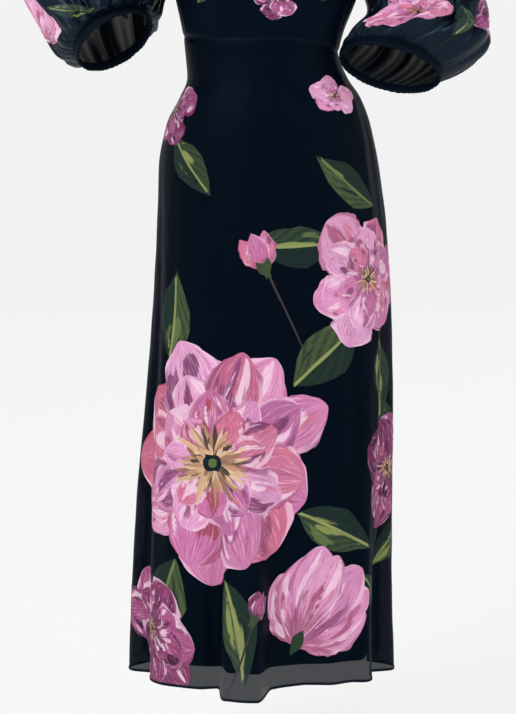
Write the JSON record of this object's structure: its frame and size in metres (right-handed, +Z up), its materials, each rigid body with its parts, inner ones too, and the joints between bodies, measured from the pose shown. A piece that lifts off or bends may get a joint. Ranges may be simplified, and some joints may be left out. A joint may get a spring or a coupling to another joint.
{
  "type": "maxi dress",
  "caption": "Maxi dress as worn, with a fitted bodice, a flared skirt over a slimmer lining, balloon sleeves gathered into narrow cuffs, and a zip in the back seam.",
  "frame": {"origin": "middle of the shoulder line, inside the neck opening, where the dress rests on the shoulders", "axes": "+Z up, -Y the front of the dress, +X the wearer's left"},
  "size_m": [0.7055, 0.3816, 1.3763],
  "materials": {
    "chiffon": "matt woven",
    "lining": "smooth woven",
    "tape": "woven tape",
    "metal": "satin"
  },
  "bodies": {
    "dress": {"bodice_front": "chiffon", "bodice_back_left": "chiffon", "bodice_back_right": "chiffon", "skirt_front": "chiffon", "skirt_back_left": "chiffon", "skirt_back_right": "chiffon", "skirt_lining": "lining", "sleeve_left": "chiffon", "sleeve_right": "chiffon", "cuff_left": "chiffon", "cuff_right": "chiffon", "zip_tape": "tape", "zip_slider": "metal"},
    "pull": {"zip_pull": "metal"}
  },
  "joints": [
    {"name": "pull_swing", "type": "hinge", "parent": "dress", "child": "pull", "pos_m": [0, 0.09937, -0.05098], "axis": [1, 0, 0], "range_deg": [0, 150]}
  ]
}
